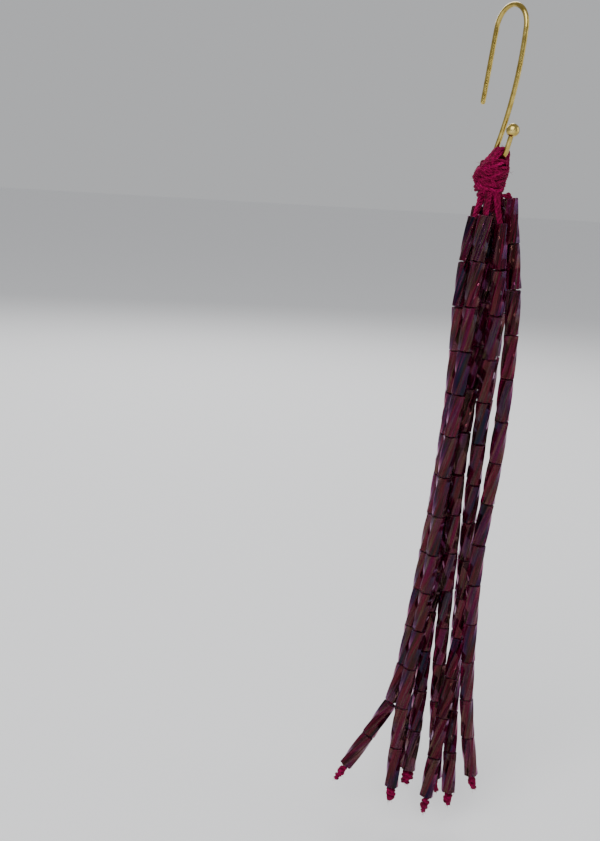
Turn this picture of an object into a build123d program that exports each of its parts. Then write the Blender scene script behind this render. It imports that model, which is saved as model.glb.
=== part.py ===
from build123d import *
import math
import os

# A drop earring: a ball-ended wire hook, a thread knot looped over its foot, and eight
# strands of twisted six-sided tube beads. Lengths are in millimetres, angles in degrees.
# The origin is where an ear or a peg carries the wire, under the middle of its top bend.
# The ball faces -Y, the straight tail of the wire is behind it, and +Z is up.

# Ear hook
wire_diameter = 0.75
top_bend_radius = 3.25
top_bend_turn = 174
tail_length = 10.5
tail_flare = 8
leg_radius = 45.5
leg_turn = 21
foot_bend_radius = 1.15
foot_bend_turn = 185
nose_length = 3.1
ball_diameter = 1.95

# Thread knot
loop_thread_diameter = 0.9
loop_clearance = 0.15
knot_height = 4.6
knot_core_diameter = 3.7
knot_end_diameter = 2.4
knot_across = -0.45
knot_back = 0.45
core_steps = 3
wrap_diameter = 0.95
wrap_turn = 70

# Strands
beads_per_strand = 14
bead_length = 6.65
bead_diameter = 2.4
bead_twist = 75
bead_sections = 4
bead_turn = 47
strand_turn = 31
bore_diameter = 1.0
bead_gap = 0.1
strand_gap = 0.1
route_slack = 1.045
strand_thread_diameter = 0.6
thread_start_gap = 0.3
thread_side_gap = 0.1
thread_rise = 1.6
thread_gather = 0.42
thread_gather_drop = 0.04
thread_bend_radius = 1.2
end_knot_diameter = 1.5
end_knot_length = 1.9
end_tail_diameter = 0.45

# Wraps of the knot: height as a share of the knot's, tilt to the side and tilt to the front
WRAPS = [
    (0.16, 8, -10),
    (0.34, -14, 6),
    (0.52, 10, 14),
    (0.70, -9, -12),
    (0.86, 12, 4),
]

# Each strand: its first bead's drop below the knot as a share of a bead's length, its end
# tail as a share of the end knot's length, and its route. The route's points lie at equal
# drops down the strand, across (+X) and back (+Y) as shares of the strands' spacing, and
# the last of them lies past the last bead by the route's slack.
STRANDS = {
    "far_left": (0.55, 1.0, [
        (-0.98, 0.14), (-1.3, 0.5), (-0.96, 0.78), (-0.88, 1.14),
        (-1.02, 1.7), (-1.26, 2.2), (-2.4, 2.14), (-5.3, 3.28)]),
    "left": (0.50, 1.3, [
        (-1.2, -1), (-1.4, -0.76), (-1.38, -0.44), (-1.44, 0.12),
        (-1.28, 0.68), (-1.46, 1.1), (-2.42, 0.96), (-3.2, 0.26)]),
    "middle": (0.66, 1.2, [
        (-0.32, -1.02), (0.04, -1.28), (0.22, -0.9), (0.42, -0.56),
        (1.02, 0.24), (1.18, 0.18), (-0.02, -0.52), (-1.28, -1.12)]),
    "right": (0.10, 0.9, [
        (0.62, -0.76), (1.26, -1.3), (1.42, -1.38), (1.44, -1.14),
        (0.9, -1.06), (1.04, -1.02), (1.34, -1.2), (1.84, -2.06)]),
    "rear_right": (0.65, 0.8, [
        (1.06, 0.18), (1.26, -0.14), (1.1, -0.12), (1.1, 0.32),
        (1.68, 1.06), (1.84, 1.14), (1.14, 0.1), (0.36, -1.38)]),
    "inner": (0.43, 1.4, [
        (0.02, -0.1), (0.1, 0.02), (0.06, 0.2), (-0.4, 0.12),
        (0, 0.48), (0.22, 0.8), (0.36, 0.8), (0.24, -0.06)]),
    "rear": (0.12, 0.7, [
        (0.74, 1.1), (0.74, 0.96), (0.68, 1.04), (0.2, 1.06),
        (0.28, 1.72), (-0.3, 1.7), (-1.06, 0.9), (-2.18, 0.02)]),
    "rear_left": (0.32, 1.1, [
        (-0.26, 0.88), (-0.4, 1.12), (-0.22, 1.64), (-0.16, 2.1),
        (0.06, 2.8), (0.32, 2.66), (-0.46, 1.8), (-2.12, 1.64)]),
}

wire_radius = wire_diameter / 2
loop_thread_radius = loop_thread_diameter / 2
strand_spacing = bead_diameter + strand_gap
strand_length = beads_per_strand * (bead_length + bead_gap) * route_slack

os.makedirs("parts", exist_ok=True)


def save(piece, name):
    piece.part.label = name
    export_step(piece.part, f"parts/{name}.step")


# Ear hook: tail, top bend, leg, foot bend and nose follow one another without a kink
with BuildPart() as ear_hook:
    with BuildLine(Plane.YZ) as hook_line:
        flare_cos = math.cos(math.radians(tail_flare))
        flare_sin = math.sin(math.radians(tail_flare))
        bend_centre = wire_radius - top_bend_radius
        bend_start = (top_bend_radius * flare_cos, bend_centre + top_bend_radius * flare_sin)
        tail_end = (bend_start[0] + tail_length * flare_sin, bend_start[1] - tail_length * flare_cos)
        tail = Line(tail_end, bend_start)
        top_bend = JernArc(tail @ 1, tail % 1, top_bend_radius, top_bend_turn)
        leg = JernArc(top_bend @ 1, top_bend % 1, leg_radius, leg_turn)
        foot_bend = JernArc(leg @ 1, leg % 1, foot_bend_radius, -foot_bend_turn)
        nose = Line(foot_bend @ 1, foot_bend @ 1 + (foot_bend % 1) * nose_length)
    with BuildSketch(Plane(origin=tail @ 0, z_dir=tail % 0)):
        Circle(wire_radius)
    sweep(path=hook_line.line)
    with Locations(tail @ 0):
        Sphere(wire_radius)
    with Locations(nose @ 1):
        Sphere(ball_diameter / 2)
save(ear_hook, "ear_hook")

foot = hook_line.line.bounding_box().min
foot_height = foot.Z
foot_back = foot_bend.arc_center.Y
loop_radius = wire_radius + loop_clearance + loop_thread_radius
knot_top = foot_height - wire_radius - loop_clearance
knot_foot = knot_top - knot_height


def knot_radius(share):
    """Radius of the knot's core at a share of its height, from its lower end"""
    swell = (knot_core_diameter - knot_end_diameter) / 2
    return knot_end_diameter / 2 + swell * math.sin(math.pi * share)


# Thread knot: an arch over the wire's foot, a swollen core, and tilted wraps round it
with BuildPart() as thread_knot:
    with BuildLine(Plane.XZ.offset(-foot_back)) as loop_line:
        loop_foot = knot_top - knot_height / 4
        left_side = Line((-loop_radius, loop_foot), (-loop_radius, foot_height))
        arch = JernArc(left_side @ 1, left_side % 1, loop_radius, -180)
        right_side = Line(arch @ 1, (loop_radius, loop_foot))
    with BuildSketch(Plane(origin=left_side @ 0, z_dir=left_side % 0)):
        Circle(loop_thread_radius)
    sweep(path=loop_line.line)
    with BuildSketch(Plane((knot_across, knot_back, knot_foot), (1, 0, 0), (0, -1, 0))):
        core_rings = [step / core_steps for step in range(core_steps + 1)]
        with BuildLine():
            outline = [(knot_radius(share), share * knot_height) for share in core_rings]
            Polyline((0, 0), *outline, (0, knot_height), close=True)
        make_face()
    revolve(axis=Axis((knot_across, knot_back, 0), (0, 0, 1)))
    for index, (share, side_tilt, front_tilt) in enumerate(WRAPS):
        place = Location((knot_across, knot_back, knot_foot + share * knot_height))
        with Locations(place * Location((0, 0, 0), (front_tilt, side_tilt, index * wrap_turn))):
            Torus(knot_radius(share), wrap_diameter / 2)
save(thread_knot, "thread_knot")


def route_point(route, drop):
    """The point at a share of the strand's length below the knot, on a smooth curve"""
    place = min(max(drop, 0) * (len(route) - 1), len(route) - 1.001)
    step = int(place)
    part = place - step
    before = route[max(step - 1, 0)]
    first = route[step]
    second = route[step + 1]
    after = route[min(step + 2, len(route) - 1)]
    x, y = (
        b + part * (c - a) / 2
        + part ** 2 * (2 * a - 5 * b + 4 * c - d) / 2
        + part ** 3 * (3 * b - a - 3 * c + d) / 2
        for a, b, c, d in zip(before, first, second, after)
    )
    beyond = drop - place / (len(route) - 1)
    x += beyond * (len(route) - 1) * (second[0] - first[0])
    y += beyond * (len(route) - 1) * (second[1] - first[1])
    return Vector(x * strand_spacing, y * strand_spacing, knot_foot - drop * strand_length)


def next_drop(route, drop, reach):
    """The drop where a straight line of length reach from the point at drop ends"""
    start = route_point(route, drop)
    near = drop
    far = drop + 2 * reach / strand_length
    for _ in range(30):
        middle = (near + far) / 2
        if (route_point(route, middle) - start).length < reach:
            near = middle
        else:
            far = middle
    return near


def walk(route, first_drop):
    """Joints between a strand's beads, and the gap at each joint"""
    gaps = [bead_gap] * (beads_per_strand + 1)
    for _ in range(3):
        drops = [first_drop]
        for gap, next_gap in zip(gaps, gaps[1:]):
            reach = bead_length + gap / 2 + next_gap / 2
            drops.append(next_drop(route, drops[-1], reach))
        joints = [route_point(route, drop) for drop in drops]
        ways = [b - a for a, b in zip(joints, joints[1:])]
        for index, (way, next_way) in enumerate(zip(ways, ways[1:])):
            bend = math.radians(way.get_angle(next_way))
            gaps[index + 1] = bead_gap + bead_diameter * math.tan(bend / 2)
    return joints, gaps


# One bead: a six-sided glass tube, twisted along its length and drilled through
with BuildPart() as bead:
    for section in range(bead_sections):
        share = section / (bead_sections - 1)
        with BuildSketch(Plane.XY.offset((share - 0.5) * bead_length)):
            RegularPolygon(bead_diameter / 2, 6, rotation=share * bead_twist)
    loft()
    Hole(bore_diameter / 2)


def bead_places(joints, gaps, strand_index):
    """A place for each bead, half a gap below its upper joint, each turned differently"""
    places = []
    for index, (start, end) in enumerate(zip(joints, joints[1:])):
        way = (end - start).normalized()
        along = Plane(origin=start + way * (gaps[index] + bead_length) / 2, z_dir=way)
        spin = bead_turn * index + strand_turn * strand_index
        places.append(along.location * Location((0, 0, 0), (0, 0, spin)))
    return places


def thread_start(route, first_joint):
    """Where a thread leaves the knot: its foot, or its flank where the first bead is beside it"""
    axis = Vector(knot_across, knot_back, knot_foot)
    gathered = route_point(route, thread_gather_drop)
    aside = Vector(gathered.X, gathered.Y, knot_foot) - axis
    rise = first_joint.Z + thread_rise - knot_foot
    if rise < 0:
        return axis + aside * thread_gather - Vector(0, 0, thread_start_gap)
    wrapped = knot_radius(rise / knot_height) + wrap_diameter / 2
    reach = wrapped + thread_side_gap + strand_thread_diameter / 2
    return axis + aside.normalized() * reach + Vector(0, 0, rise)


def thread_points(route, joints):
    """The thread's way: from the knot, through every bead, to below the last one"""
    start = thread_start(route, joints[0])
    first_way = (joints[1] - joints[0]).normalized()
    last_way = (joints[-1] - joints[-2]).normalized()
    entry = joints[0] - first_way * strand_thread_diameter
    exit_end = joints[-1] + last_way * (end_knot_length / 2 + strand_thread_diameter)
    return [start, entry] + joints[1:-1] + [exit_end]


# One end knot: turns of the thread drawn tight into a small barrel
with BuildPart() as end_knot:
    Cylinder(end_knot_diameter / 2, end_knot_length)
    fillet(end_knot.edges().filter_by(GeomType.CIRCLE), end_knot_diameter / 3)


# Strands: the beads of each one are loose on a thread that ends in a knot with a tail
for strand_index, (name, (start_share, tail_share, route)) in enumerate(STRANDS.items()):
    joints, gaps = walk(route, start_share * bead_length / strand_length)

    with BuildPart() as bead_strand:
        with Locations(*bead_places(joints, gaps, strand_index)):
            add(bead.part)
    save(bead_strand, f"bead_strand_{name}")

    way_points = thread_points(route, joints)
    down = (way_points[-1] - way_points[-2]).normalized()
    knot_middle = way_points[-1]
    aside = down.cross(Vector(math.cos(strand_index), math.sin(strand_index), 0)).normalized()
    tail_way = (down * 2 + aside).normalized()
    with BuildPart() as strand_thread:
        with BuildLine() as thread_line:
            FilletPolyline(*way_points, radius=thread_bend_radius)
        with BuildSketch(Plane(origin=thread_line.line @ 0, z_dir=thread_line.line % 0)):
            Circle(strand_thread_diameter / 2)
        sweep(path=thread_line.line)
        with Locations(Plane(origin=knot_middle, z_dir=down)):
            add(end_knot.part)
        tail_reach = end_knot_length * (0.5 + tail_share)
        with Locations(Plane(origin=knot_middle, z_dir=tail_way)):
            Cylinder(
                end_tail_diameter / 2,
                tail_reach,
                align=(Align.CENTER, Align.CENTER, Align.MIN),
            )
    save(strand_thread, f"strand_thread_{name}")
    print(name, "end", [round(value, 1) for value in joints[-1]], "widest gap", round(max(gaps), 2))
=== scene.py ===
import math
import random

import bpy
import numpy as np
from mathutils import Matrix, Vector


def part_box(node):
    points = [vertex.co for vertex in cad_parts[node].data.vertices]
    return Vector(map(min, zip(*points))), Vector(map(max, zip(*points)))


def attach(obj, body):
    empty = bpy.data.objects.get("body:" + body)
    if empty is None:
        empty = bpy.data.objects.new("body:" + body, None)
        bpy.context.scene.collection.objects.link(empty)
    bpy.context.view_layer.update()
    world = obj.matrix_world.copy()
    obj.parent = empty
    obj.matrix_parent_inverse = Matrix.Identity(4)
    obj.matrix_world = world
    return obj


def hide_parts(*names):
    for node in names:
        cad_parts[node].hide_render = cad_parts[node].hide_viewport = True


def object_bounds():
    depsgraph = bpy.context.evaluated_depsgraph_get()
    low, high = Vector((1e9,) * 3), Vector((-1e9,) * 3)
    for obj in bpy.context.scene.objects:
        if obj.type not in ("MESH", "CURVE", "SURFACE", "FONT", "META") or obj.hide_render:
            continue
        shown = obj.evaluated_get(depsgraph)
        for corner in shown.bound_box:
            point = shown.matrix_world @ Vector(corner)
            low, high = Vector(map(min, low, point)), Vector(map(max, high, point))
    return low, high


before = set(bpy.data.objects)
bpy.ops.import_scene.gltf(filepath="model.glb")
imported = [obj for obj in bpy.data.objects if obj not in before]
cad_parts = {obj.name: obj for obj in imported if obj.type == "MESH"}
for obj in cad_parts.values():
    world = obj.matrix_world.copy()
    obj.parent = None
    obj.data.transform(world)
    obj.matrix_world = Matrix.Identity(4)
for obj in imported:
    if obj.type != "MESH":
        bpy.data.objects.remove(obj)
cad_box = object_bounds()

# The dressed earring: glass beads, twisted thread, a wound knot and a gold wire.
# Lengths here are in millimetres, and MM turns them to metres. Angles are in degrees where
# nothing else is said.
MM = 0.001
STRANDS = ("far_left", "left", "middle", "right", "rear_right", "inner", "rear", "rear_left")

# Camera: the photograph's frame and viewing angle
photo_height = 841
focal_pixels = 1000
camera_azimuth = -30
camera_elevation = 13
camera_roll = 3.8
camera_place = (-99.6, -119.4, -27.3)
sensor_height = 36
near_clip = 5

# Floor, below the lowest strand
floor_clearance = 2.0
floor_reach = 6000

# Lights: name, place, width and height, and watts
light_target = (0, 0, -60)
LIGHTS = (
    ("key", (-380, -280, 300), (520, 520), 3.0),
    ("fill", (440, -220, 80), (420, 420), 0.8),
    ("back", (140, 420, 280), (420, 420), 1.8),
    ("spark_left", (-300, -250, -45), (60, 10), 0.014),
    ("spark_front", (-60, -400, -66), (60, 10), 0.02),
)
room_colour = (0.80, 0.81, 0.83, 1)
room_strength = 0.62

# Beads: the flats start bead_corner_angle away from each corner, and the outline is an arc
# over bead_corner_round of that angle
bead_sides = 6
bead_twist = 75
bead_corner_angle = 5
bead_corner_round = 0.8
bead_ring_steps = 13
bead_end_bevel = 0.07
bead_chip = 0.07
bore_radius = 0.5

# Points round a bead: at each corner as shares of its angle, then as shares of the flat side
CORNER_POINTS = (-1, 0, 1)
FLAT_POINTS = (1 / 3, 2 / 3)
side_points = len(CORNER_POINTS) + len(FLAT_POINTS)

# Rings of a bead's bevelled end: share of the bevel along the bead, share of its radius
BEVEL_RINGS = ((0, 0.9), (0.4, 0.97), (1, 1))

# Rings of the bore from the lower end up: share of the bead's length, share of the bore's radius
BORE_RINGS = ((1, 1.15), (0.97, 1), (0.5, 1), (0.03, 1), (0, 1.15))

# How a bead is read from its solid: rounds in which its axis settles, the reach in which
# points belong to the bore, and the depth in which they belong to an end
axis_rounds = 4
bore_reach = 1.5 * bore_radius
rim_depth = 0.05

# The glass's pattern goes on by this much from bead to bead and from strand to strand
bead_shift = 3
strand_shift = 50

# Threads: plies wound round each other, with part of the shade of each one its own. A
# thread's path has a point at every ply_step, taken from path_parts times as many.
thread_radius = 0.3
thread_plies = 3
thread_pitch = 1.6
ply_share = 0.48
ply_sides = 6
ply_step = 0.13
ply_own_shade = 0.4
path_parts = 3

# Loose fibres: each of their points is a share of the length, and a share of the radius
fibre_radius = 0.016
fibre_length = 0.5
shortest_fibre = 0.3
fibre_lean = 0.6
fibre_bend = 0.5
fibre_sides = 3
FIBRE_POINTS = ((0, 1), (0.35, 0.9), (0.7, 0.8), (1, 0.5))

# Top of a strand: its thread starts inside the knot, at a height above the first bead, and
# leaves the knot where the top slice of its solid is. Where the first bead hangs beside the
# knot, it leaves the knot at a share of the way from that bead, a little raised.
top_slice = 0.02
start_height = 1.9
start_height_beside = 0.4
leave_share = 0.3
leave_rise = 0.2

# Two more threads run with it, side by side across the camera's view. Their spread is given
# as shares of their spacing, from where they leave the knot to where they end in the bead.
PAIR_WAY = Vector((0.866, -0.5, 0))
PAIR_SPREAD = (1.4, 1.2, 1, 0.5)
pair_spacing = 0.2
pair_depth = 0.2

# End knots: radius, length, and the reach of each cut tail
END_KNOTS = {
    "far_left": (0.58, 2.5, (0.8,)),
    "left": (0.76, 1.9, (0.4, 0.9)),
    "middle": (0.66, 2.2, (0.8,)),
    "right": (0.60, 1.9, (1.0, 0.8)),
    "rear_right": (0.68, 1.7, (0.7,)),
    "inner": (0.42, 1.6, (1.2,)),
    "rear": (0.95, 1.9, (0.4, 0.5)),
    "rear_left": (0.62, 1.7, (0.8,)),
}
end_knot_gap = 0.15
end_knot_fibres = 70
end_thread_radius = 0.8 * thread_radius

# Turns of an end knot: corners of each, how many of them go once round, how far each turn
# starts beyond the last as a share of a round, its most lean and shift, its sink into the
# knot as a share of the thread's radius, the knot's taper, and the droop of its fibres
end_turns = 5
end_turn_corners = 10
corners_round = 8
end_turn_lag = 0.37
end_turn_lean = 0.9
end_turn_shift = 0.1
end_turn_sink = 0.6
end_taper = 0.5
end_fibre_droop = 0.4

# Core of an end knot: its heights as shares of the knot's length, and its fullness
CORE_HEIGHTS = (-0.4, -0.2, 0, 0.2, 0.4)
core_fullness = 0.9
core_sides = 10
core_tone = 0.2

# Cut tails of an end knot: each one a bundle of thread ends, as wide as a share of the
# thread's radius, between the least and the most share of its reach, and a second one more
# aslant
tail_ends = 3
tail_bundle = 0.9
tail_least = 0.7
tail_most = 1.1
tail_slant = 0.5
next_tail_slant = 0.7
tail_spots = 6

# Thread knot: it is wound further down than its solid, and lies close under the wire. Its
# swell is given as a share of its height and a share of half its width. From lean_start of
# its height up it leans towards the loop.
wire_radius = 0.375
wire_clearance = 0.04
knot_skirt = 1.4
wound_radius = 0.85 * thread_radius
KNOT_LEAN = Vector((-0.15, 0.09, 0))
KNOT_SWELL = ((0, 0.4), (0.14, 0.72), (0.3, 0.96), (0.55, 1.05), (0.78, 1.06), (1, 0.8))
lean_start = 0.55

# Core of the thread knot, under its turns by a share of the thread's radius
knot_core_steps = 16
knot_core_sides = 16
knot_core_depth = 1.5
knot_core_least = 0.3

# Turns of the thread knot: how many, the corners and the rounds of each, their places and
# tilts as shares of the knot's height, and where each starts beyond the last, in radians
winding_turns = 18
turn_corners = 14
turn_rounds = 1.08
lowest_turn = 0.04
highest_turn = 0.97
turns_height = 0.9
turn_tilt = 0.1
turn_start = 1.7
turn_stray = 0.05

# Crossing turns: share of the knot's height, tilt to the side and tilt to the front. Each
# starts beyond the last by an angle in radians, climbs as it goes round, and stands a little
# out of the knot.
KNOT_CROSSINGS = (
    (0.30, 0.16, -0.10),
    (0.48, -0.16, 0.12),
    (0.50, 0.16, 0.26),
    (0.62, -0.10, -0.28),
    (0.40, 0.05, 0.30),
    (0.66, 0.24, 0.05),
)
crossing_start = 2.2
crossing_climb = 0.1
crossing_rise = 0.12

# Arch over the wire: two layers of threads, closer together at its feet than at its top,
# which lie on the knot's flanks and go in below that
arch_threads = 6
arch_spacing = 0.3
arch_layer_drop = 0.42
arch_steps = 10
arch_opening = 0.45
arch_stray = 0.06
arch_wobble = 0.03
arch_end_points = 2
flank_share = 0.68
flank_spread = 1.3
foot_share = 0.5
foot_sink = 1.6

# Loose cut ends: share of the knot's height, the way across and back, and the reach
KNOT_ENDS = ((0.50, -0.95, -0.1, 1.0), (0.35, 0.7, 0.7, 0.9))
cut_end_sink = 1.5
cut_end_rise = 0.3
cut_end_bend = 0.6
cut_end_thickness = 0.8
cut_end_spots = 20
knot_fibres = 260

# Colours of the glass's streaky tint with its painted highlights, of the thread and of the wire,
# as stops of a ramp
GLASS_STREAKS_AND_HIGHLIGHTS = (
    (0.42, (0.004, 0.001, 0.002)),
    (0.50, (0.006, 0.001, 0.002)),
    (0.55, (0.060, 0.001, 0.012)),
    (0.61, (0.170, 0.002, 0.038)),
    (0.65, (0.070, 0.001, 0.016)),
    (0.69, (0.006, 0.001, 0.003)),
    # The mauve-grey and olive stops are painted highlights, lighter facets in place of
    # reflections; the others are the glass's own dark wine colour
    (0.74, (0.120, 0.056, 0.080)),
    (0.80, (0.130, 0.100, 0.045)),
    (0.85, (0.006, 0.002, 0.003)),
)
THREAD_TONES = (
    (0.30, (0.030, 0.000, 0.005)),
    (0.60, (0.110, 0.000, 0.020)),
    (0.85, (0.210, 0.000, 0.045)),
    (1.00, (0.330, 0.000, 0.080)),
)
GOLD_TONES = (
    (0.35, (0.32, 0.225, 0.05)),
    (0.60, (0.49, 0.37, 0.10)),
    (0.75, (0.64, 0.51, 0.19)),
)

# Glass: the range of noise that its film follows, the film's thickness in nanometres, how far
# a bead's end is rubbed, and the roughness at its end and past that
film_noise = (0.4, 1.1)
film_thickness = (350, 545)
rubbed_reach = 0.25
glass_roughness = (0.5, 0.07)

# Wire: its roughness from one mark to the next
gold_roughness = (0.08, 0.26)

random.seed(12)


# Meshes

class BeadShape:
    """The mesh of one string of beads, as lists that its beads are added to"""

    def __init__(self):
        self.points = []
        self.faces = []
        self.grains = []
        self.facet_tones = []
        self.end_distances = []
        self.sharp_edges = set()


class ThreadShape:
    """The mesh of one piece of thread, and the spots and ways where fibres may stand off"""

    def __init__(self):
        self.points = []
        self.faces = []
        self.tones = []
        self.spots = []


def add_mesh(name, points, faces, smooth=True):
    """A mesh object from points in millimetres"""
    mesh = bpy.data.meshes.new(name)
    mesh.from_pydata([tuple(c * MM for c in point) for point in points], [], faces)
    mesh.polygons.foreach_set("use_smooth", [smooth] * len(mesh.polygons))
    mesh.update()
    piece = bpy.data.objects.new(name, mesh)
    bpy.context.scene.collection.objects.link(piece)
    return piece


def add_attribute(piece, name, kind, values):
    """A value for each point of a mesh, for its material to read"""
    attribute = piece.data.attributes.new(name, kind, "POINT")
    field = "vector" if kind == "FLOAT_VECTOR" else "value"
    attribute.data.foreach_set(field, np.asarray(values, np.float32).ravel())


def islands(mesh):
    """The separate bodies of a mesh as arrays of points in millimetres, the highest first"""
    keys = [tuple(round(c / MM, 4) for c in vertex.co) for vertex in mesh.vertices]
    parent = {key: key for key in keys}

    def root(key):
        while parent[key] != key:
            parent[key] = parent[parent[key]]
            key = parent[key]
        return key

    for polygon in mesh.polygons:
        first = root(keys[polygon.vertices[0]])
        for index in polygon.vertices[1:]:
            parent[root(keys[index])] = first
    groups = {}
    for key in parent:
        groups.setdefault(root(key), []).append(key)
    bodies = [np.array(group) for group in groups.values()]
    return sorted(bodies, key=lambda body: -body[:, 2].mean())


def turned(side, other, angle):
    """The direction at an angle in radians from one direction towards another"""
    return side * math.cos(angle) + other * math.sin(angle)


def any_way(side, other):
    """A random vector in the plane of two directions"""
    return side * random.uniform(-1, 1) + other * random.uniform(-1, 1)


def stray(size):
    """A random vector of about a size"""
    return Vector([random.gauss(0, size) for _ in range(3)])


# Beads

def read_bead(body):
    """Upper end, lower end, corner radius and the direction of one upper corner of a bead"""
    centre = (body.max(0) + body.min(0)) / 2
    axis = np.linalg.svd(body - body.mean(0), full_matrices=False)[2][0]
    for _ in range(axis_rounds):
        axis = axis * -np.sign(axis[2])
        along = (body - centre) @ axis
        bore = np.linalg.norm(np.cross(body - centre, axis), axis=1) < bore_reach
        upper, lower = (body[bore & half].mean(0) for half in (along < 0, along > 0))
        centre = (upper + lower) / 2
        axis = (lower - upper) / np.linalg.norm(lower - upper)
    rim = body[(body - upper) @ axis < rim_depth] - upper
    reach = np.linalg.norm(np.cross(rim, axis), axis=1)
    corner = Vector(rim[reach.argmax()])
    return Vector(upper), Vector(lower), reach.max(), corner.normalized()


def bead_angles():
    """Angles round a bead: for each side three at its corner and two across its flat"""
    side = 360 / bead_sides
    flat = side - 2 * bead_corner_angle
    angles = []
    for index in range(bead_sides):
        corner = index * side
        angles += [corner + bead_corner_angle * share for share in CORNER_POINTS]
        angles += [corner + bead_corner_angle + flat * share for share in FLAT_POINTS]
    return angles


def side_radius(angle, radius):
    """Distance from the axis to a six-sided outline with slightly rounded corners"""
    half = 180 / bead_sides
    flat = radius * math.cos(math.radians(half))
    off = abs((angle + half) % (2 * half) - half)
    off = max(off, bead_corner_angle * bead_corner_round)
    return flat / math.cos(math.radians(half - off))


def bead_rings(length):
    """Rings of a bead's outside, as distances along it and shares of its radius"""
    upper = [(bead_end_bevel * along, share) for along, share in BEVEL_RINGS]
    steps = range(1, bead_ring_steps + 1)
    middle = [(length * step / (bead_ring_steps + 1), 1) for step in steps]
    lower = [(length - along, share) for along, share in reversed(upper)]
    return upper + middle + lower


def add_bead(shape, upper, lower, radius, corner, shift):
    """Adds one twisted tube bead, with its own chips, facet tones and shift of the grain"""
    tones = [random.random() for _ in range(bead_sides)]
    axis = lower - upper
    length = axis.length
    axis.normalize()
    across = axis.cross(corner)
    angles = bead_angles()
    count = len(angles)
    chips = [random.gauss(0, bead_chip / 2) for _ in range(2 * count)]
    rings = bead_rings(length)
    first = len(shape.points)

    def add_ring(along, distances):
        turn = bead_twist * along / length
        edge = min(along, length - along)
        for index, (angle, distance) in enumerate(zip(angles, distances)):
            chip = chips[index if along < length / 2 else count + index]
            lift = chip if edge < bead_end_bevel / 2 else 0
            way = turned(corner, across, math.radians(angle + turn))
            shape.points.append(upper + way * distance + axis * (along + lift))
            round_bead = math.radians(angle)
            grain = (math.cos(round_bead), math.sin(round_bead), along / length + shift)
            shape.grains.append(grain)
            # The tone of a side begins at the middle of its corner
            side = (index - 1) // side_points % bead_sides
            shape.facet_tones.append(tones[side])
            shape.end_distances.append(edge)

    for along, share in rings:
        add_ring(along, [side_radius(angle, radius) * share for angle in angles])
    for along, share in BORE_RINGS:
        add_ring(length * along, [bore_radius * share] * count)
    join_rings(shape, first, len(rings), count)


def join_rings(shape, first, outer, count):
    """Faces between a bead's rings, and sharp edges at its corners and round its bevels"""
    total = outer + len(BORE_RINGS)

    def number(ring, index):
        return first + ring % total * count + index % count

    for ring in range(total):
        for index in range(count):
            near = (number(ring, index), number(ring, index + 1))
            far = (number(ring + 1, index + 1), number(ring + 1, index))
            shape.faces.append(near + far)

    corner_edges = (0, len(CORNER_POINTS) - 1)
    for ring in range(outer - 1):
        for index in range(count):
            if index % side_points in corner_edges:
                shape.sharp_edges.add((number(ring, index), number(ring + 1, index)))
    bevel = len(BEVEL_RINGS) - 1
    last = outer - 1
    for ring in (0, bevel, last - bevel, last):
        for index in range(count):
            edge = sorted((number(ring, index), number(ring, index + 1)))
            shape.sharp_edges.add(tuple(edge))


def bead_strand(name, strand_index):
    """One string of glass beads, in the place of its solids; also returns each bead's ends"""
    node = f"bead_strand_{name}"
    shape = BeadShape()
    places = []
    for index, body in enumerate(islands(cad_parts[node].data)):
        upper, lower, radius, corner = read_bead(body)
        shift = bead_shift * index + strand_shift * strand_index
        add_bead(shape, upper, lower, radius, corner, shift)
        places.append((upper, lower))
    piece = add_mesh(f"glass_beads_{name}", shape.points, shape.faces)
    add_attribute(piece, "grain", "FLOAT_VECTOR", shape.grains)
    add_attribute(piece, "facet_tone", "FLOAT", shape.facet_tones)
    add_attribute(piece, "end_distance", "FLOAT", shape.end_distances)
    marks = piece.data.attributes.new("sharp_edge", "BOOLEAN", "EDGE")
    edges = (tuple(sorted(edge.vertices)) for edge in piece.data.edges)
    marks.data.foreach_set("value", [edge in shape.sharp_edges for edge in edges])
    piece.data.materials.append(glass_material)
    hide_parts(node)
    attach(piece, "root")
    return places


# Threads

def smooth_path(corners, step):
    """Points at about equal steps on a smooth curve through the corners"""
    curve = [corners[0] * 2 - corners[1]] + list(corners) + [corners[-1] * 2 - corners[-2]]
    fine = []
    for a, b, c, d in zip(curve, curve[1:], curve[2:], curve[3:]):
        parts = max(2, int((c - b).length / step * path_parts))
        for index in range(parts):
            t = index / parts
            fine.append(
                b + (c - a) * (t / 2)
                + (a * 2 - b * 5 + c * 4 - d) * (t * t / 2)
                + (b * 3 - a - c * 3 + d) * (t ** 3 / 2)
            )
    fine.append(corners[-1].copy())
    path = [fine[0]]
    for point in fine[1:]:
        if (point - path[-1]).length >= step:
            path.append(point)
    return path


def path_frames(path):
    """A side and an up direction for each point of a path, turning as little as they can"""
    frames = []
    side = None
    for index, point in enumerate(path):
        way = (path[min(index + 1, len(path) - 1)] - path[max(index - 1, 0)]).normalized()
        if side is None:
            side = way.orthogonal().normalized()
        side = (side - way * side.dot(way)).normalized()
        frames.append((side, way.cross(side)))
    return frames


def add_tube(shape, path, radii, sides, tone):
    """Adds a closed tube along a path, all of one tone"""
    first = len(shape.points)
    for (side, up), point, radius in zip(path_frames(path), path, radii):
        for index in range(sides):
            angle = 2 * math.pi * index / sides
            shape.points.append(point + turned(side, up, angle) * radius)
            shape.tones.append(tone)
    for ring in range(len(path) - 1):
        for index in range(sides):
            a = first + ring * sides + index
            b = first + ring * sides + (index + 1) % sides
            shape.faces.append((a, b, b + sides, a + sides))
    shape.faces.append(tuple(first + index for index in reversed(range(sides))))
    last = first + (len(path) - 1) * sides
    shape.faces.append(tuple(last + index for index in range(sides)))


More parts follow.
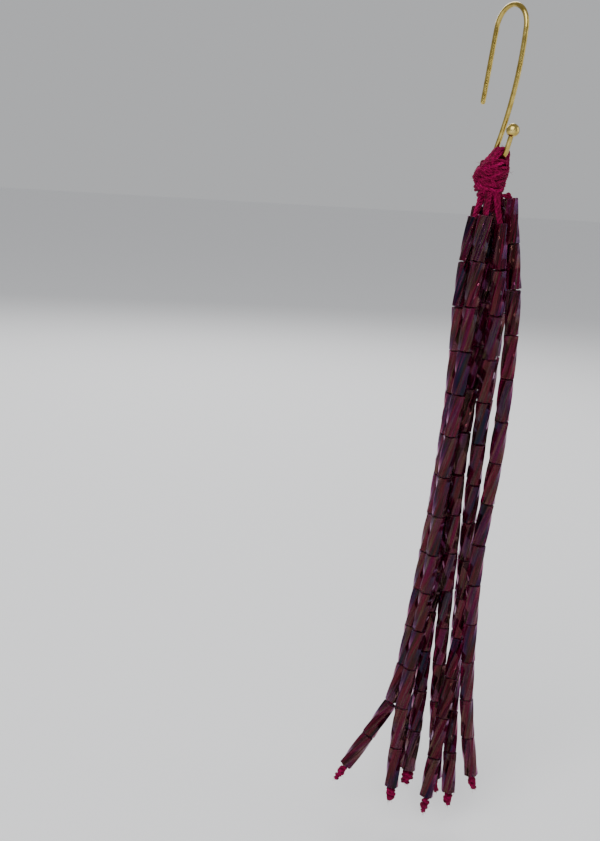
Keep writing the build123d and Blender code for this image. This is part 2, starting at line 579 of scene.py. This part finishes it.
def add_thread(shape, corners, radius):
    """Adds a thread of twisted plies along a smooth path through the corners"""
    path = smooth_path(corners, ply_step)
    frames = path_frames(path)
    start = random.random() * 2 * math.pi
    ply_radius = radius * ply_share
    shade = random.random()
    for ply in range(thread_plies):
        wound = []
        for index, (point, (side, up)) in enumerate(zip(path, frames)):
            angle = start + 2 * math.pi * (ply / thread_plies + index * ply_step / thread_pitch)
            wound.append(point + turned(side, up, angle) * (radius - ply_radius))
        tone = (1 - ply_own_shade) * shade + ply_own_shade * random.random()
        add_tube(shape, wound, [ply_radius] * len(wound), ply_sides, tone)


def add_fibres(shape, count):
    """Adds loose hair-thin fibres that stand off the thread at some of its spots"""
    for _ in range(count):
        place, way = random.choice(shape.spots)
        reach = fibre_length * random.uniform(shortest_fibre, 1)
        start = (way + stray(fibre_lean)).normalized()
        bend = stray(fibre_bend)
        path = [place + (start * t + bend * t * t) * reach for t, _ in FIBRE_POINTS]
        radii = [fibre_radius * share for _, share in FIBRE_POINTS]
        add_tube(shape, path, radii, fibre_sides, random.random())


def thread_start(node, entry):
    """Where a strand's thread begins inside the knot, and where it leaves the knot"""
    body = islands(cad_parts[node].data)[0]
    leave = Vector(body[body[:, 2] > body[:, 2].max() - top_slice].mean(0))
    beside_knot = leave.z > knot_low.z
    height = start_height_beside if beside_knot else start_height
    inside = Vector((knot_axis.x, knot_axis.y, entry.z + height))
    if beside_knot:
        leave = entry.lerp(inside, leave_share) + Vector((0, 0, leave_rise))
    return inside, leave


def pair_of_threads(shape, inside, leave, upper, lower):
    """Two threads side by side, from inside the knot into the strand's first bead"""
    within_bead = upper * (1 - pair_depth) + lower * pair_depth
    places = (leave, (leave + upper) / 2, upper, within_bead)
    for side in (-1, 1):
        drift = PAIR_WAY * pair_spacing * side
        corners = [place + drift * spread for place, spread in zip(places, PAIR_SPREAD)]
        add_thread(shape, [inside] + corners, wound_radius)


def strand_thread(name, places):
    """The thread of one strand: through every bead, an end knot below the last, cut tails"""
    node = f"strand_thread_{name}"
    shape = ThreadShape()
    first_upper, first_lower = places[0]
    last_upper, last_lower = places[-1]
    inside, leave = thread_start(node, first_upper)
    pair_of_threads(shape, inside, leave, first_upper, first_lower)
    way = (last_lower - last_upper).normalized()
    radius, length, tails = END_KNOTS[name]
    knot = last_lower + way * (length / 2 + end_knot_gap)
    corners = [inside, leave]
    for upper, lower in places:
        corners += [upper, lower]
    add_thread(shape, corners + [knot], thread_radius)
    end_knot(shape, knot, way, radius, length, tails)
    piece = add_mesh(f"thread_{name}", shape.points, shape.faces)
    add_attribute(piece, "tone", "FLOAT", shape.tones)
    piece.data.materials.append(thread_material)
    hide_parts(node)
    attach(piece, "root")


# End knots

def end_knot(shape, centre, way, radius, length, tails):
    """Turns of thread drawn tight round the strand's end, cut tails and their fibres"""
    side = way.orthogonal().normalized()
    other = way.cross(side)
    for turn in range(end_turns):
        end_knot_turn(shape, centre, way, side, other, radius, length, turn)
    thin = end_thread_radius * core_fullness
    thick = (radius - end_thread_radius) * core_fullness
    core = [centre + way * (length * share) for share in CORE_HEIGHTS]
    radii = [thin] + [thick] * (len(core) - 2) + [thin]
    add_tube(shape, core, radii, core_sides, core_tone)
    foot = way * (length / 2 - end_thread_radius)
    for index, reach in enumerate(tails):
        lean = any_way(side, other) * (tail_slant + next_tail_slant * index)
        for end in range(tail_ends):
            angle = 2 * math.pi * end / tail_ends
            aside = turned(side, other, angle) * end_thread_radius * tail_bundle
            cut_tail(shape, centre + aside + foot, way, lean, aside, reach)
    add_fibres(shape, end_knot_fibres)


def end_knot_turn(shape, centre, way, side, other, radius, length, turn):
    """One turn of an end knot, in its place along the knot, smaller towards the ends"""
    tilt = random.uniform(-end_turn_lean, end_turn_lean)
    lean = random.uniform(-end_turn_lean, end_turn_lean)
    share = (turn + 0.5) / end_turns - 0.5
    height = share * (length - 2 * end_thread_radius)
    reach = (radius - end_thread_radius * end_turn_sink) * (1 - end_taper * abs(share))
    shift = any_way(side, other) * end_turn_shift
    corners = []
    for step in range(end_turn_corners):
        angle = 2 * math.pi * (step / corners_round + turn * end_turn_lag)
        rim = turned(side, other, angle) * reach
        rise = height + reach * (tilt * math.cos(angle) + lean * math.sin(angle))
        corners.append(centre + shift + rim + way * rise)
        droop = (rim.normalized() + way * end_fibre_droop).normalized()
        shape.spots.append((corners[-1], droop))
    add_thread(shape, corners, end_thread_radius)


def cut_tail(shape, foot, way, lean, aside, reach):
    """One cut thread end below an end knot, its lower half more aslant than its upper half"""
    half = reach * random.uniform(tail_least, tail_most) / 2
    middle = foot + (way + lean / 2) * half
    tip = middle + (way + lean + aside) * half
    add_thread(shape, [foot, middle, tip], end_thread_radius)
    shape.spots += [(tip, way)] * tail_spots


# Thread knot

knot_low, knot_high = (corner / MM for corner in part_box("thread_knot"))
knot_axis = (knot_low + knot_high) / 2
knot_width = knot_high.x - knot_low.x
hook_points = islands(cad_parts["ear_hook"].data)[0]
hook_foot = Vector(hook_points[hook_points[:, 2].argmin()])
loop_axis = hook_foot + Vector((0, 0, wire_radius))
knot_top = hook_foot.z - wire_clearance
knot_foot = knot_low.z - knot_skirt


def smooth_share(share, stops):
    """A value read between (share, value) stops"""
    for (low, first), (high, second) in zip(stops, stops[1:]):
        if share <= high:
            part = (max(share, low) - low) / (high - low)
            part = part * part * (3 - 2 * part)
            return first + (second - first) * part
    return stops[-1][1]


def knot_body(share):
    """Centre and radius of the knot's body at a share of its height, from its foot"""
    swell = smooth_share(share, KNOT_SWELL)
    to_loop = max(share - lean_start, 0)
    place = (knot_axis + KNOT_LEAN).lerp(loop_axis, to_loop)
    height = knot_foot + share * (knot_top - knot_foot)
    return Vector((place.x, place.y, height)), knot_width / 2 * swell


def knot_turn(shape, share, side_tilt, front_tilt, start, rounds, climb=0, rise=0):
    """One turn of thread round the knot at a share of its height, climbing as it goes round"""
    corners = []
    steps = int(turn_corners * rounds)
    for step in range(steps + 1):
        angle = start + 2 * math.pi * rounds * step / steps
        tilt = side_tilt * math.cos(angle) + front_tilt * math.sin(angle)
        here = min(max(share + climb * step / steps + tilt, lowest_turn), highest_turn)
        centre, radius = knot_body(here)
        rim = Vector((math.cos(angle), math.sin(angle), 0))
        drift = stray(turn_stray)
        corners.append(centre + rim * (radius - wound_radius + rise) + drift)
        shape.spots.append((corners[-1] + rim * wound_radius, rim))
    add_thread(shape, corners, wound_radius)


def knot_winding(shape):
    """The knot's core, its level turns, and the turns that cross over them"""
    bodies = [knot_body(step / knot_core_steps) for step in range(knot_core_steps + 1)]
    core = [centre for centre, _ in bodies]
    depth = knot_core_depth * wound_radius
    radii = [max(radius - depth, knot_core_least) for _, radius in bodies]
    add_tube(shape, core, radii, knot_core_sides, 0)
    for index in range(winding_turns):
        share = lowest_turn + turns_height * index / (winding_turns - 1)
        side_tilt = random.uniform(-turn_tilt, turn_tilt)
        front_tilt = random.uniform(-turn_tilt, turn_tilt)
        start = index * turn_start
        knot_turn(shape, share, side_tilt, front_tilt, start, turn_rounds)
    for index, (share, side_tilt, front_tilt) in enumerate(KNOT_CROSSINGS):
        start = index * crossing_start
        knot_turn(shape, share, side_tilt, front_tilt, start, 1, crossing_climb, crossing_rise)


def arch_leg(side, aside):
    """Where a thread of the arch lies on the knot's flank, and where it goes in below that"""
    centre, radius = knot_body(flank_share)
    flank = centre + Vector((side * (radius - wound_radius), aside * flank_spread, 0))
    centre, radius = knot_body(foot_share)
    foot = centre + Vector((side * (radius - foot_sink * wound_radius), aside, 0))
    return flank, foot


def knot_arch(shape):
    """The threads of the knot that pass over the foot of the wire"""
    up = Vector((0, 0, 1))
    arch_reach = knot_high.z - loop_axis.z - wound_radius
    for index in range(2 * arch_threads):
        aside = (index % arch_threads - (arch_threads - 1) / 2) * arch_spacing
        layer_drop = arch_layer_drop if index < arch_threads else 0
        reach = arch_reach - layer_drop + random.uniform(-arch_stray, arch_stray)
        over = []
        for step in range(arch_steps + 1):
            angle = math.pi * step / arch_steps
            opened = aside * (1 - arch_opening + arch_opening * math.sin(angle))
            x = loop_axis.x + reach * math.cos(angle)
            y = loop_axis.y + opened + random.gauss(0, arch_wobble)
            z = loop_axis.z + reach * math.sin(angle)
            over.append(Vector((x, y, z)))
            shape.spots.append((over[-1] + up * wound_radius, up))
        right_flank, right_foot = arch_leg(1, aside)
        left_flank, left_foot = arch_leg(-1, aside)
        right = [right_foot, right_flank] + over[:-arch_end_points]
        # On the left a slack bight, down to the flank and up again, fills the knot's shoulder
        left = [left_flank] + over[-arch_end_points:] + [left_foot]
        add_thread(shape, right + left, wound_radius)


def knot_cut_ends(shape):
    """The loose cut ends that stand out of the knot"""
    lift = Vector((0, 0, cut_end_rise))
    for share, across, back, reach in KNOT_ENDS:
        centre, radius = knot_body(share)
        way = Vector((across, back, 0)).normalized()
        start = centre + way * (radius - wound_radius * cut_end_sink)
        middle = start + (way + lift) * reach * cut_end_bend
        tip = start + (way + lift * cut_end_bend) * reach
        add_thread(shape, [start, middle, tip], wound_radius * cut_end_thickness)
        shape.spots += [(tip, way)] * cut_end_spots


def thread_knot():
    """Bundled thread looped over the foot of the wire and wound round itself"""
    shape = ThreadShape()
    knot_winding(shape)
    knot_arch(shape)
    knot_cut_ends(shape)
    add_fibres(shape, knot_fibres)
    piece = add_mesh("wound_knot", shape.points, shape.faces)
    add_attribute(piece, "tone", "FLOAT", shape.tones)
    piece.data.materials.append(thread_material)
    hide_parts("thread_knot")
    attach(piece, "root")


# Materials

class Surface:
    """A material with short ways to add the nodes that feed its shader"""

    def __init__(self, name):
        self.material = bpy.data.materials.new(name)
        self.material.use_nodes = True
        self.nodes = self.material.node_tree.nodes
        self.shader = self.nodes["Principled BSDF"]

    def link(self, output, socket):
        """Links an output to an input"""
        self.material.node_tree.links.new(output, socket)

    def feed(self, outputs):
        """Links outputs to sockets of the shader"""
        for name, output in outputs.items():
            self.link(output, self.shader.inputs[name])

    def settings(self, values):
        """Sets sockets of the shader that are the same all over the surface"""
        for name, value in values.items():
            self.shader.inputs[name].default_value = value

    def attribute(self, name, output):
        """A value that the mesh holds for each of its points"""
        node = self.nodes.new("ShaderNodeAttribute")
        node.attribute_name = name
        return node.outputs[output]

    def object_place(self):
        """The place on the object, in metres"""
        return self.nodes.new("ShaderNodeTexCoord").outputs["Object"]

    def stretched(self, vector, scale):
        """A vector with each of its parts scaled"""
        node = self.nodes.new("ShaderNodeMapping")
        node.inputs["Scale"].default_value = scale
        self.link(vector, node.inputs["Vector"])
        return node.outputs["Vector"]

    def noise(self, vector, scale, detail):
        """Soft noise at a scale, with some finer detail"""
        node = self.nodes.new("ShaderNodeTexNoise")
        node.inputs["Scale"].default_value = scale
        node.inputs["Detail"].default_value = detail
        self.link(vector, node.inputs["Vector"])
        return node.outputs["Fac"]

    def mixed(self, value, share, added):
        """A share of one value, added to another"""
        node = self.nodes.new("ShaderNodeMath")
        node.operation = "MULTIPLY_ADD"
        node.inputs[1].default_value = share
        self.link(value, node.inputs[0])
        self.link(added, node.inputs[2])
        return node.outputs["Value"]

    def ranged(self, value, given, wanted):
        """A value within the given range, turned to one within the wanted range"""
        node = self.nodes.new("ShaderNodeMapRange")
        node.inputs["From Min"].default_value = given[0]
        node.inputs["From Max"].default_value = given[1]
        node.inputs["To Min"].default_value = wanted[0]
        node.inputs["To Max"].default_value = wanted[1]
        self.link(value, node.inputs["Value"])
        return node.outputs["Result"]

    def coloured(self, value, stops):
        """The colour at a value on a ramp of (position, colour) stops"""
        node = self.nodes.new("ShaderNodeValToRGB")
        elements = node.color_ramp.elements
        while len(elements) < len(stops):
            elements.new(0.5)
        for element, (position, colour) in zip(elements, stops):
            element.position = position
            element.color = (*colour, 1)
        self.link(value, node.inputs["Fac"])
        return node.outputs["Color"]

    def bumped(self, height, strength, distance):
        """A normal that rises with a value by a distance in millimetres"""
        node = self.nodes.new("ShaderNodeBump")
        node.inputs["Strength"].default_value = strength
        node.inputs["Distance"].default_value = distance * MM
        self.link(height, node.inputs["Height"])
        return node.outputs["Normal"]


def make_glass():
    """Dark wine-red glass with lengthwise streaky colour and painted highlights, a lustre film
    and rubbed ends
    """
    glass = Surface("lustre_glass")
    grain = glass.attribute("grain", "Vector")
    facet = glass.attribute("facet_tone", "Fac")
    end_distance = glass.attribute("end_distance", "Fac")
    broad = glass.stretched(grain, scale=(2.1, 2.1, 0.4))
    fine = glass.stretched(grain, scale=(1.5, 1.5, 0.25))
    # The facet tone and noise pick the glass's tint, and on some facets a painted highlight
    streaks_and_highlights = glass.mixed(facet, share=0.3, added=glass.noise(broad, scale=1.3, detail=2))
    film = glass.mixed(facet, share=0.5, added=glass.noise(broad, scale=0.35, detail=1))
    lines = glass.noise(fine, scale=9, detail=3)
    glass.feed({
        "Base Color": glass.coloured(streaks_and_highlights, GLASS_STREAKS_AND_HIGHLIGHTS),
        "Thin Film Thickness": glass.ranged(film, film_noise, film_thickness),
        "Roughness": glass.ranged(end_distance, (0, rubbed_reach), glass_roughness),
        "Normal": glass.bumped(lines, strength=0.2, distance=0.02),
    })
    glass.settings({
        "IOR": 1.52,
        "Transmission Weight": 0.75,
        "Thin Film IOR": 1.37,
        "Specular IOR Level": 0.24,
        "Specular Tint": (1, 0.40, 0.68, 1),
    })
    return glass.material


def make_thread():
    """Crimson sewing thread: each ply its own tone, fine fibre lines, soft sheen"""
    thread = Surface("crimson_thread")
    tone = thread.attribute("tone", "Fac")
    fibres = thread.noise(thread.object_place(), scale=2200, detail=3)
    shades = thread.mixed(tone, share=0.45, added=fibres)
    thread.feed({
        "Base Color": thread.coloured(shades, THREAD_TONES),
        "Normal": thread.bumped(fibres, strength=0.35, distance=0.03),
    })
    thread.settings({
        "Roughness": 0.7,
        "Specular IOR Level": 0.08,
        "Sheen Weight": 0.03,
        "Sheen Roughness": 0.4,
        "Sheen Tint": (1, 0.2, 0.5, 1),
    })
    return thread.material


def make_gold():
    """Polished gold-coloured wire with faint drawing marks and rubbed spots"""
    gold = Surface("gold_wire")
    marks = gold.noise(gold.object_place(), scale=900, detail=4)
    gold.feed({
        "Base Color": gold.coloured(marks, GOLD_TONES),
        "Roughness": gold.ranged(marks, (0, 1), gold_roughness),
        "Normal": gold.bumped(marks, strength=0.05, distance=0.01),
    })
    gold.settings({"Metallic": 1})
    return gold.material


# Stage, light and camera

def make_stage():
    """A plain pale floor just below the hanging strands"""
    level = cad_box[0][2] / MM - floor_clearance
    ways = ((-1, -1), (1, -1), (1, 1), (-1, 1))
    corners = [(x * floor_reach, y * floor_reach, level) for x, y in ways]
    floor = add_mesh("floor", corners, [(0, 1, 2, 3)], smooth=False)
    pale = Surface("pale_floor")
    pale.settings({"Base Color": (0.92, 0.92, 0.93, 1), "Roughness": 0.9})
    floor.data.materials.append(pale.material)


def add_light(name, place, size, watts):
    """A light from a rectangle that faces the earring's middle"""
    data = bpy.data.lights.new(name, "AREA")
    data.shape = "RECTANGLE"
    data.size = size[0] * MM
    data.size_y = size[1] * MM
    data.energy = watts
    light = bpy.data.objects.new(name, data)
    light.location = Vector(place) * MM
    facing = Vector(light_target) * MM - light.location
    light.rotation_euler = facing.to_track_quat("-Z", "Y").to_euler()
    bpy.context.scene.collection.objects.link(light)


def make_lights():
    """Soft lights at the left, right and back, two small ones for glints, and a pale room"""
    for name, place, size, watts in LIGHTS:
        add_light(name, place, size, watts)
    world = bpy.data.worlds.new("pale_room")
    world.use_nodes = True
    background = world.node_tree.nodes["Background"]
    background.inputs["Color"].default_value = room_colour
    background.inputs["Strength"].default_value = room_strength
    bpy.context.scene.world = world


def make_camera():
    """The photograph's camera: its place, direction, roll and field of view"""
    azimuth = math.radians(camera_azimuth)
    elevation = math.radians(camera_elevation)
    back = Vector((
        math.sin(azimuth) * math.cos(elevation),
        -math.cos(azimuth) * math.cos(elevation),
        math.sin(elevation),
    ))
    right = Vector((math.cos(azimuth), math.sin(azimuth), 0))
    up = back.cross(right)
    turn = Matrix((right, up, back)).transposed()
    roll = Matrix.Rotation(math.radians(camera_roll), 3, "Z")
    data = bpy.data.cameras.new("photo_camera")
    data.sensor_fit = "VERTICAL"
    data.sensor_height = sensor_height
    data.lens = focal_pixels * sensor_height / photo_height
    data.clip_start = near_clip * MM
    camera = bpy.data.objects.new("photo_camera", data)
    camera.matrix_world = Matrix.Translation(Vector(camera_place) * MM) @ (turn @ roll).to_4x4()
    bpy.context.scene.collection.objects.link(camera)
    bpy.context.scene.camera = camera


def dress_hook():
    """The wire keeps its own solid, in polished gold"""
    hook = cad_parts["ear_hook"]
    hook.data.materials.clear()
    hook.data.materials.append(gold_material)


glass_material = make_glass()
thread_material = make_thread()
gold_material = make_gold()
make_camera()
make_lights()
make_stage()
for strand_index, strand in enumerate(STRANDS):
    strand_thread(strand, bead_strand(strand, strand_index))
thread_knot()
dress_hook()
